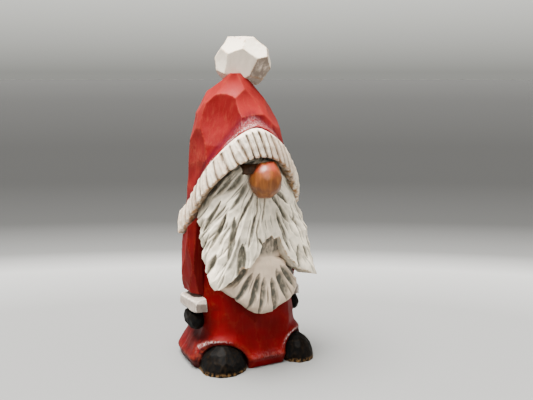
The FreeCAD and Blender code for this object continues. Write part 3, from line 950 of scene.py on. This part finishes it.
def make_pompom():
    """A ball cut all over with broad flats."""
    low, high = box_of("pompom")
    centre, radii = (low + high) / 2 + np.array([0.2, 0, 0.7]), (high - low) / 2 - 0.4
    flats = [(-56, 48, 0.035), (8, 40, 0.03), (-32, -9, 0.05), (-84, 2, 0.01), (22, -28, 0.03),
             (58, 10, 0.01), (-50, -50, -0.08), (10, -58, 0.0), (75, -35, 0.0), (62, 50, 0.01),
             (-95, -38, -0.08), (-112, 34, 0.0), (-128, -10, 0.0), (-10, 84, 0.03),
             (95, 15, 0.0), (90, -35, 0.0), (140, 40, 0.0), (150, 0, 0.0), (-160, 45, 0.0),
             (-165, 5, 0.0), (160, -40, 0.0), (-140, -45, 0.0), (0, -85, 0.0)]
    planes = ball_planes(centre, radii, flats, bite=-0.005)
    whittle("pompom", centre, planes, white_trim, "trim_paint", scoop=0.35, lumpy=0.05,
            loops=150, places=220,
            # painted shade on the flats that face down, strongest on the figure's left
            wash=lambda ways: (clip01((-0.05 - ways[..., 2]) / 0.4)
                               * np.clip(0.6 + 0.8 * ways[..., 0], 0.3, 1.0)))


def make_nose():
    """A polished ball of wood, cut with small flats and blushed on top."""
    low, high = box_of("nose")
    centre = (low + high) / 2 + np.array([0, 0.3, -0.5])
    radii = np.array([5.9, 5.4, 7.0])
    flats = [(-36, -4, 0.02), (-2, -6, 0.02), (-50, 40, 0.015), (-12, 44, 0.01), (24, 12, 0.01),
             (-78, 6, 0.0), (-62, -34, 0.0), (-22, -42, 0.01), (18, -40, 0.01), (50, -12, 0.0),
             (52, 32, 0.0), (22, 50, 0.0), (-95, -30, 0.0), (-95, 36, 0.0), (85, 5, 0.0),
             (-20, 74, 0.01), (-25, -74, 0.02), (150, 0, 0.0), (-150, 0, 0.0), (180, 50, 0.0),
             (180, -50, 0.0), (60, -50, 0.0), (-22, 20, 0.005), (-58, 16, 0.0), (6, 22, 0.0)]
    planes = ball_planes(centre, radii, flats, bite=0.0)
    whittle("nose", centre, planes, stained_nose, "nose_stain", scoop=0.05, worn_width=0.5,
            loops=120, places=180, roundness=0.28,
            streak=lambda points: clip01((points[..., 2] - centre[2] - 1.5) / 3.5))


def make_peg():
    """The stub of the nose's dowel, left square where it leaves the beard."""
    low, high = box_of("nose_dowel")
    centre = np.array([-4.9, -18.7, high[2] + 2.3])
    flats = [(-90, 0), (90, 0), (0, 8), (180, 0), (-45, 10), (45, 0), (0, 90), (0, -90),
             (-60, 45), (20, 50), (-40, -45)]
    planes = ball_planes(centre, np.array([3.4, 2.9, 2.1]), flats, bite=0.0)
    whittle("nose_dowel", centre, planes, peg_wood, "bare_wood", scoop=0.1, loops=60, places=90)


# ---------------------------------------------------------------- brim

RIBS, RIB_RADIUS = 47, 22.5
# by the angle round from the front: how far the brim's foot stands out, and how far the ribs
# lean aside for each millimetre down
BRIM_FLARE = ([-180, -110, -40, 0, 30, 60, 110, 180], [0.6, 0.9, 1.6, 1.7, 0.6, -0.6, 0.0, 0.6])
RIB_LEAN = ([-180, -110, -60, -20, 5, 30, 60, 110, 180],
            [0.1, 0.15, 0.2, 0.38, 0.3, 0.4, 0.35, 0.2, 0.1])
# the band's section from the top edge round the inner side: (inwards, share of the height)
BRIM_BACK = [(-0.25, 0.985), (-0.8, 1.0), (-1.9, 1.0), (-4.4, 0.97), (-4.6, 0.75), (-4.6, 0.5),
             (-4.6, 0.25), (-4.4, 0.05), (-3.0, 0.01), (-1.8, 0.0), (-0.8, 0.0), (-0.25, 0.015)]


def make_brim():
    """The ribbed band: upright knife cuts between flat slats, under a plain upper edge."""
    count = 1104
    angles = np.linspace(-math.pi, math.pi, count, endpoint=False)
    coarse, low_radius = band_radius(2.0)
    high_radius = band_radius(9.3)[1]
    low_radius = np.interp(angles, coarse, low_radius, period=2 * math.pi)
    high_radius = np.interp(angles, coarse, high_radius, period=2 * math.pi)
    foot = smooth(brim_low(angles), 14, 0, True)
    tall = smooth(brim_tall(angles), 14, 0, True)[:, None]
    face = 28
    section = [(0.0, 0.04 + 0.92 * step / (face - 1)) for step in range(face)]
    inward, share = np.array(section + BRIM_BACK).T
    radius = (low_radius[:, None] + (high_radius - low_radius)[:, None] * share
              + 0.5 * np.sin(math.pi * share) + inward)
    radius -= 0.9 * clip01((share - 0.89) / 0.09)
    degrees = np.degrees(angles)
    flare = np.interp(degrees, *BRIM_FLARE)
    radius += flare[:, None] * (1 - share)
    height = foot[:, None] + tall * share
    pitch = 1 + rng.uniform(-0.18, 0.18, RIBS)
    starts = np.concatenate([[0], np.cumsum(pitch)]) / pitch.sum()
    turn = (angles + math.pi) / (2 * math.pi)
    phase = np.interp(turn, starts, np.arange(RIBS + 1))
    slant = np.interp(degrees, *RIB_LEAN)
    rib_width = 2 * math.pi * RIB_RADIUS / RIBS
    phase = phase[:, None] - slant[:, None] * tall * (1 - share) / rib_width
    number = np.floor(phase).astype(int) % RIBS
    aside = (phase - np.floor(phase) - 0.5) * rib_width
    cut_from = np.minimum(aside + rib_width / 2, rib_width / 2 - aside)
    sideways = bell(np.abs(np.linspace(-180, 180, RIBS)) - 100, 30)
    depths = rng.uniform(1.0, 1.6, RIBS) * (1 + 0.3 * sideways)
    widths = rng.uniform(0.5, 0.85, RIBS) * (1 + 0.5 * sideways)
    side_number = np.where(aside > 0, (number + 1) % RIBS, number)
    depth, width = depths[side_number], widths[side_number]
    cut = depth * clip01(1 - cut_from / width)
    slat = rng.uniform(0.04, 0.20, RIBS)[number] * aside + rng.uniform(-0.15, 0.1, RIBS)[number]
    slat -= 0.3 * bell(rib_width / 2 - aside - 0.95, 0.35)
    ribbed = clip01((0.93 - share) / 0.06)
    outer = clip01(1 + inward / 3.0)
    radius -= ribbed * outer * (cut + slat)
    height += clip01((0.10 - share) / 0.10) * outer * (0.75 * cut)
    radius += 0.12 * lumps(np.stack([radius, height, degrees[:, None] * 0.4 + 0 * radius],
                                    axis=-1), 3.0) * outer
    rays = outward(angles)[:, None, :]
    points = rays * radius[..., None]
    points[..., 2] = height
    normals = normals_of(points, True)
    rise = crest(points, normals, 2.5, True)
    worn = clip01(rise / 0.12) * 0.5
    worn += 1.6 * clip01((0.13 - share) / 0.10) * (inward > -1) * clip01(0.3 + cut)
    worn += 0.2 * clip01(cut / 0.6) * ribbed
    wash = clip01(cut / 0.85) ** 1.4 * ribbed + clip01((-inward - 0.6) / 1.0)
    carve_mesh("hat_brim", points, True, white_trim, "trim_paint", ["hat_brim"],
               edge=np.clip(worn, 0, 1.5), wash=clip01(wash),
               facet=rng.uniform(0, 1, RIBS)[number])


# ---------------------------------------------------------------- moustache and beard

BEARD_AXIS = (0.0, -4.0)
# millimetres along the moustache's face for each degree round that axis
MM_PER_DEGREE = 0.39
# how many strokes of the small and of the large gouge the moustache has
SMALL_STROKES, LARGE_STROKES = 130, 55
# (angle, height) along the ragged lower edge of the moustache, round its own axis
WHISKER_EDGE = [
    (-88, 63.5), (-83, 59.8), (-76, 53.5), (-70, 47.1), (-62, 43.2), (-55, 38.8), (-52.4, 36.6),
    (-48, 36.5), (-44.8, 37.7), (-35.1, 41), (-31, 44.4), (-25, 43.6), (-19.2, 44.8),
    (-10.6, 47.5), (-7, 50.4), (-2.8, 53.5), (3, 54.3), (9.1, 55.9), (14, 54.2), (20.5, 55),
    (27.4, 47.5), (31, 45.4), (37.1, 41.2), (43, 39.8), (49.6, 37.8), (53, 37.2), (57, 40.5),
    (63, 44.0), (70, 47.6), (76, 53.0), (83, 59.8), (88, 63.5)]
# the knife's V cuts: (angle, height) from root to end, half width, depth
WHISKER_GOUGES = [
    ([(-57, 68.6), (-69.5, 59.4)], 1.1, 1.5), ([(-49, 63.6), (-58, 53.4)], 1.1, 1.5),
    ([(-39, 61.9), (-42, 50.1)], 1.3, 1.6), ([(-66, 54.6), (-75, 50)], 0.9, 1.1),
    ([(-53.6, 48.9), (-60, 42.7)], 1.2, 1.5), ([(-31, 51.3), (-33.6, 41.4)], 1.9, 2.0),
    ([(-17, 71.9), (-26.3, 67.6), (-32.7, 62.8)], 1.0, 1.5), ([(2.6, 71), (-3.8, 61.9)], 0.9, 1.2),
    ([(15.2, 71.2), (30.4, 61.8)], 1.2, 1.8), ([(22.5, 72.9), (34, 68.3)], 1.1, 1.6),
    ([(20.5, 62.1), (28.2, 50.4)], 1.1, 1.6), ([(-26.2, 76.2), (-38.7, 69.3)], 1.5, 1.0),
    ([(-32, 80.4), (-48.4, 74.5)], 1.8, 1.1), ([(-48, 78.5), (-63, 72.2)], 1.4, 0.8),
    ([(-15.3, 62.7), (-22.5, 53.2)], 1.3, 1.1), ([(38.9, 65.3), (42.7, 51.5)], 0.7, 1.0),
    ([(42.2, 49.6), (45.3, 45)], 0.8, 1.1), ([(38.2, 49.4), (37.2, 41.7)], 0.9, 0.9),
    ([(-9, 54.6), (-4.6, 52.1)], 0.7, 0.9), ([(50, 66), (60, 56)], 1.1, 1.4),
    ([(58, 57), (64, 48)], 1.1, 1.4), ([(64, 66), (74, 58)], 1.0, 1.3),
    ([(52, 52), (55, 43)], 1.2, 1.4), ([(36, 76), (50, 70)], 1.1, 1.2)]


def strand_way(place):
    """The way the hair falls at an unrolled place: away from the nose, then downwards."""
    from_nose = np.array([place[0], place[1] - 84.0])
    way = from_nose / max(np.linalg.norm(from_nose), 1e-6) + np.array([0, -0.35])
    return way / np.linalg.norm(way)


def beard_wrap(name, levels, angles, cells):
    """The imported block's smoothed radius round the beard's axis, gaps filled."""
    centres = [(*BEARD_AXIS, level) for level in levels]
    radius = wrap(tree_of(name), centres, angles)
    fill_gaps(radius, 0)
    fill_gaps(radius, 1)
    return smooth(smooth(radius, cells, 1, False), cells, 0, False)


def sample(table, levels, angles, height, angle):
    """Bilinear lookup of a [level, angle] table."""
    row = np.clip((height - levels[0]) / (levels[1] - levels[0]), 0, len(levels) - 1.001)
    column = np.clip((angle - angles[0]) / (angles[1] - angles[0]), 0, len(angles) - 1.001)
    low, left = row.astype(int), column.astype(int)
    up, right = row - low, column - left
    return (table[low, left] * (1 - up) * (1 - right) + table[low + 1, left] * up * (1 - right)
            + table[low, left + 1] * (1 - up) * right + table[low + 1, left + 1] * up * right)


def hanging_sheet(angles, foot, top, outer, depth, relief, face, rise=0.6):
    """Closed sections through a hanging block: carved face, lower edge, inner wall and top.

    outer and relief take the heights and give the radius and the cut depth; depth is how far
    the block reaches inwards.  Returns the points and what each place is: 0 on the face,
    1 along the lower edge, 2 inside.
    """
    down = np.linspace(1, 0, face)
    share = np.concatenate([down, [0, 0, 0, 0, 0, 0.1, 0.5, 0.9, 1.0, 1.0]])
    inward = np.concatenate([np.zeros(face), [0.25, 0.8, 2.0, 4.0, 1e3, 1e3, 1e3, 1e3, 1e3, 3.0]])
    lift = np.concatenate([np.zeros(face), [-0.2, -0.2, 0.0, 0.15, 0.5, 0, 0, 0, 0.0, 0.4]]) * rise
    part = np.concatenate([np.zeros(face), [1, 1], np.full(8, 2)])
    height = foot[:, None] + (top - foot)[:, None] * share + lift
    inward = np.minimum(inward, depth[:, None])
    cut = relief(height) * clip01(1 - inward / 2.5)
    radius = outer(height) - inward - cut
    rays = outward(angles)[:, None, :]
    points = rays * radius[..., None] + np.array([*BEARD_AXIS, 0.0])
    points[..., 2] = height
    return points, part + 0 * height


def make_moustache():
    """The upper beard: locks that fan out from the nose and end in a ragged edge."""
    count, face = 400, 190
    degrees = np.linspace(-87, 87, count)
    angles = np.radians(degrees)
    edge_at, edge_height = np.array(WHISKER_EDGE).T
    foot = smooth(np.interp(degrees, edge_at, edge_height), 1.2, 0, False)
    foot += 0.35 * lumps(np.stack([degrees * MM_PER_DEGREE, foot, 0 * foot], axis=-1), 2.5)
    around = np.radians(np.linspace(-110, 110, 200))
    seen = np.arctan2(21.5 * np.sin(around), 21.5 * np.cos(around) - 4.0)
    top = np.interp(angles, seen, brim_low(around)) + 5.0
    levels = np.linspace(34, 92, 117)
    turns = np.radians(np.linspace(-92, 92, 185))
    table = beard_wrap("moustache", levels, turns, 3)
    spread = np.stack([degrees[:, None] * MM_PER_DEGREE + np.zeros(face + 10)[None, :]], axis=-1)
    seeds, ways = [], []
    for row, level in enumerate(np.arange(36, 90, 7.5)):
        for across in np.arange(-34, 35, 4.4):
            seed = np.array([across + 2.2 * (row % 2), level]) + rng.uniform(-1.5, 1.5, 2)
            seeds.append(seed)
            ways.append(strand_way(seed))
    seeds, ways = np.array(seeds), np.array(ways)
    gouges = []
    for route, half_width, deepest in WHISKER_GOUGES:
        route = np.array(route) * np.array([MM_PER_DEGREE, 1])
        overrun = 0.17 * (route[-1] - route[0])
        route[0] -= overrun
        route[-1] += overrun
        gouges.append((route, half_width * 1.15, deepest * 1.15))
    strokes = []
    for size in [1.0] * SMALL_STROKES + [2.1] * LARGE_STROKES:
        start = np.array([rng.uniform(-35, 35), rng.uniform(40, 86)])
        way = strand_way(start)
        length, bend = rng.uniform(4, 10) * size ** 0.6, rng.uniform(-0.12, 0.12)
        middle = start + way * length / 2 + np.array([way[1], -way[0]]) * bend * length
        strokes.append(([start, middle, start + way * length], rng.uniform(0.3, 0.6) * size,
                        rng.uniform(0.2, 0.5) * size))
    kept = {}

    def relief(height):
        flat = np.concatenate([spread, height[..., None]], axis=-1)
        scoops = overlapping_locks(flat, seeds, ways, 13.0, 3.3, 1.7)
        cuts = leaf_cuts(flat, gouges)
        fine = leaf_cuts(flat, strokes)
        kept["cuts"], kept["fine"] = cuts, fine
        return scoops + cuts + fine

    depth = 6.0 + 2.5 * clip01((np.abs(degrees) - 20) / 30)

    def outer(height):
        slim = 1.6 * bell(degrees[:, None] - 62, 22) * clip01((height - 56) / 8)
        return 0.5 - slim + sample(table, levels, turns, height, angles[:, None] + 0 * height)

    points, part = hanging_sheet(angles, foot, top, outer, depth, relief, face)
    normals = normals_of(points, False)
    rise = crest(points, normals, 3, False)
    wash = clip01(kept["cuts"] / 0.8) + clip01((part - 1) * 0.55)
    wash += 0.55 * clip01(kept["fine"] / 0.5) + 0.45 * clip01(-rise / 0.25)
    # painted shadow under the brim, along the top of the moustache
    under_brim_shadow = clip01(1 - (top[:, None] - 5.0 - points[..., 2]) / 4.0)
    wash += 0.9 * under_brim_shadow
    worn = np.where(part == 1, 2.0, 0.25 * clip01(rise / 0.2))
    worn = np.maximum(worn, clip01(1 - (points[..., 2] - foot[:, None]) / 0.5) * (part < 1))
    carve_mesh("moustache", points, False, white_beard, "beard_paint", ["moustache"],
               edge=worn, wash=clip01(wash), facet=clip01(0.5 + rise))


# cuts in the hollow over the dome of the beard: (across, height) from root to end
NOTCH_CUTS = [([(5, 51.0), (9.5, 54.5)], 0.8, 1.1), ([(6.5, 49.5), (12, 52.0)], 0.7, 1.0),
              ([(8.5, 48.0), (13.5, 49.5)], 0.6, 0.8), ([(-2, 50.5), (-6, 53.0)], 0.8, 1.0),
              ([(-4, 49.0), (-8.5, 50.5)], 0.7, 0.9), ([(1, 51.5), (1.5, 55.5)], 0.9, 0.8),
              ([(-6.5, 47.0), (-10.5, 47.5)], 0.6, 0.8)]
# (across, height) of the lower edge of the beard's fan
FAN_EDGE = [(-22, 46), (-19.0, 39.0), (-16.6, 33.6), (-12.8, 29.8), (-9.3, 26.4), (-5.8, 24.2),
            (0.2, 23.4), (5.2, 24.0), (10.7, 25.6), (15.4, 28.2), (17.0, 31.6), (19.0, 39.0),
            (22, 46)]
FAN_ROOT = (0.5, 51.0)


def fan_way(angle):
    """The way one flute of the fan runs, by its angle from straight down in degrees."""
    return np.array([math.sin(math.radians(angle)), -math.cos(math.radians(angle))])


def make_beard():
    """The lower beard: a dome that opens downwards into a fluted fan."""
    count, face = 360, 150
    degrees = np.linspace(-72, 72, count)
    angles = np.radians(degrees)
    levels = np.linspace(22, 56, 69)
    turns = np.radians(np.linspace(-80, 80, 161))
    table = beard_wrap("beard", levels, turns, 4)
    across = sample(table, levels, turns, 32 + 0 * angles, angles) * np.sin(angles)
    edge_at, edge_height = np.array(FAN_EDGE).T
    foot = smooth(np.interp(across, edge_at, edge_height), 5, 0, False)
    moustache_at, moustache_height = np.array(WHISKER_EDGE).T
    top = smooth(np.interp(degrees, moustache_at, moustache_height), 6, 0, False) + 3.0
    top = np.maximum(top, foot + 2.0)
    offsets = rng.uniform(-2.5, 2.5, 14)
    fan = np.arange(-6.5, 7, 1) * 14 + offsets
    lengths = rng.uniform(16, 21, 14)
    gouges = []
    for angle, length in zip(fan, lengths):
        way = fan_way(angle)
        if way[1] < -0.12:
            start = np.array(FAN_ROOT) + way * rng.uniform(11, 13.5)
            gouges.append(([start, start + way * length * 0.72], rng.uniform(1.9, 2.5),
                           rng.uniform(1.3, 1.9)))
    thin = []
    for angle in fan + 7 + rng.uniform(-2, 2, 14):
        way = fan_way(angle)
        if way[1] < -0.15:
            start = np.array(FAN_ROOT) + way * rng.uniform(13, 17)
            thin.append(([start, start + way * rng.uniform(6, 10)], 0.7, 0.7))
    gouges += NOTCH_CUTS
    kept = {}

    def outer(height):
        base = sample(table, levels, turns, height, angles[:, None] + 0 * height)
        recess = 2.0 * clip01((height - 47.5) / 3.0) ** 1.3
        wall = 17.0 - 2.5 * (degrees[:, None] / 60) ** 2
        dome = 0.7 * bell(height - 43, 5.0) * bell(degrees[:, None], 28)
        rim = -0.8 * clip01(1 - (height - foot[:, None]) / 3.0)
        return np.maximum(base + dome - recess + rim, np.where(height > 46, wall, 0))

    def relief(height):
        base = sample(table, levels, turns, height, angles[:, None] + 0 * height)
        flat = np.stack([base * np.sin(angles)[:, None] * 1.04, height], axis=-1)
        cuts = np.maximum(leaf_cuts(flat, gouges), leaf_cuts(flat, thin, -1))
        kept["cuts"] = cuts
        return cuts

    depth = np.full(count, 7.0)
    points, part = hanging_sheet(angles, foot, top, outer, depth, relief, face)
    points += 0.12 * lumps(points, 4.0)[..., None] * normals_of(points, False)
    normals = normals_of(points, False)
    rise = crest(points, normals, 3, False)
    wash = clip01(kept["cuts"] / 0.8) + 0.5 * clip01((part - 1))
    wash += 0.6 * clip01(1 - (points[..., 2] - foot[:, None]) / 2.5)
    # painted shade at the top of the beard, in the hollow under the moustache
    wash += 1.2 * clip01((points[..., 2] - 47.0) / 2.5)
    carve_mesh("beard", points, False, grey_beard, "beard_paint", ["beard"],
               edge=0.3 * clip01(rise / 0.2), wash=clip01(wash),
               facet=clip01(0.5 + rise))


# ---------------------------------------------------------------- materials

def bare_wood():
    """Unpainted linden with fibres along its length."""
    nodes = NodeMaker("bare_wood")
    grain = grain_of(nodes)
    colour = nodes.mix(nodes.step(grain, 0.3, 0.7), (0.36, 0.20, 0.09), (0.52, 0.33, 0.17))
    nodes.surface(colour, 0.6, height=grain, depth=0.05)
    return nodes.material


def dark_wood():
    """Unpainted wood, made nearly black as painted shade of the recess under the brim."""
    nodes = NodeMaker("peg_wood")
    grain = grain_of(nodes)
    colour = nodes.mix(nodes.step(grain, 0.3, 0.7), (0.025, 0.010, 0.004), (0.07, 0.028, 0.010))
    nodes.surface(colour, 0.55, specular=0.3, height=grain, depth=0.05)
    return nodes.material


def nose_stain():
    """Clear varnish over warm brown stain, blushed red where the mesh asks for it."""
    nodes = NodeMaker("nose_stain")
    grain = nodes.noise(0.8, (1.0, 1.0, 0.12), detail=5.0, roughness=0.6, distortion=0.6)
    colour = nodes.mix(nodes.step(grain, 0.35, 0.7), (0.15, 0.042, 0.007), (0.27, 0.090, 0.014))
    cloud = nodes.noise(0.35, detail=3.0)
    blush = nodes.maths("MULTIPLY", nodes.attribute("streak"), nodes.step(cloud, 0.3, 0.6))
    colour = nodes.mix(blush, colour, (0.28, 0.035, 0.018))
    rubbed = nodes.maths("MULTIPLY", nodes.attribute("edge"), 0.35)
    colour = nodes.mix(rubbed, colour, (0.16, 0.04, 0.012))
    nodes.surface(colour, 0.4, specular=0.3, coat=0.22, coat_roughness=0.2, height=grain,
                  depth=0.04)
    return nodes.material


# the pale streak on the reds: dry-brushed white, also a painted highlight on the coat's lips and
# above the hat's brim
CHALK_AND_HIGHLIGHT = (0.75, 0.66, 0.64)
red_coat = painted_wood("red_coat", (0.18, 0.001, 0.0035), (0.10, 0.0005, 0.001),
                        wash=(0.03, 0.004, 0.004), worn=(0.22, 0.03, 0.012), wear=0.3,
                        roughness=(0.4, 0.6), coat=0.0, grain_share=0.12, streak=CHALK_AND_HIGHLIGHT,
                        specular=0.07)
red_sleeve = painted_wood("red_sleeve", (0.14, 0.004, 0.005), (0.075, 0.001, 0.002),
                          wash=(0.03, 0.003, 0.003), worn=(0.18, 0.03, 0.012), wear=0.35,
                          roughness=(0.45, 0.6), coat=0.0, grain_share=0.2, streak=CHALK_AND_HIGHLIGHT,
                          specular=0.05)
# its light and dark extremes also serve as lit and shaded facets: painted light and shade
red_hat = painted_wood("red_hat", (0.27, 0.015, 0.015), (0.13, 0.003, 0.004),
                       wash=(0.07, 0.001, 0.008), worn=(0.32, 0.06, 0.03), wear=0.35,
                       roughness=(0.42, 0.6), coat=0.0, grain_share=0.2, streak=CHALK_AND_HIGHLIGHT,
                       specular=0.08)
white_trim = painted_wood("white_trim", (0.97, 0.86, 0.71), (0.80, 0.66, 0.53),
                          wash=(0.14, 0.10, 0.07), worn=(0.42, 0.20, 0.05), wear=0.7,
                          grain_share=0.10)
# the cuffs' white paint darkened as painted shade all over; the colour on their worn edges is the
# white
shaded_white_cuff = painted_wood("shaded_white_cuff", (0.52, 0.45, 0.38), (0.32, 0.26, 0.22),
                         wash=(0.11, 0.075, 0.06), worn=(0.92, 0.84, 0.74), wear=0.7,
                         grain_share=0.25)
white_beard = painted_wood("white_beard", (0.98, 0.88, 0.71), (0.52, 0.46, 0.35),
                           wash=(0.12, 0.110, 0.082), worn=(0.40, 0.21, 0.07), wear=0.75,
                           grain_share=0.12, tones=(0.36, 0.58))
grey_beard = painted_wood("grey_beard", (0.82, 0.65, 0.49), (0.50, 0.39, 0.29),
                          wash=(0.095, 0.088, 0.068), worn=(0.40, 0.23, 0.10), wear=0.6,
                          grain_share=0.2)
black_paint = painted_wood("black_paint", (0.0036, 0.0038, 0.004), (0.0015, 0.0015, 0.0015),
                           wash=(0.006, 0.006, 0.006), worn=(0.24, 0.13, 0.05), wear=0.6,
                           roughness=(0.4, 0.6), coat=0.0, grain_share=0.03, specular=0.04)
stained_nose = nose_stain()
peg_wood = dark_wood()

# ---------------------------------------------------------------- the figure

make_coat()
make_hat()
make_brim()
make_moustache()
make_beard()
make_nose()
make_peg()
make_pompom()
for hand, end in ((-1, "right"), (1, "left")):
    make_sleeve(hand, f"sleeve_{end}")
    make_cuff(hand, f"cuff_{end}")
    make_mitten(hand, f"mitten_{end}")
    make_boot(f"boot_{end}")

raw_wood = bare_wood()
for kept_node in ("head", "pompom_dowel"):
    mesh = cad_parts[kept_node].data
    mesh.materials.clear()
    mesh.materials.append(raw_wood)

# ---------------------------------------------------------------- the scene

make_stage()
make_camera()
make_lights()
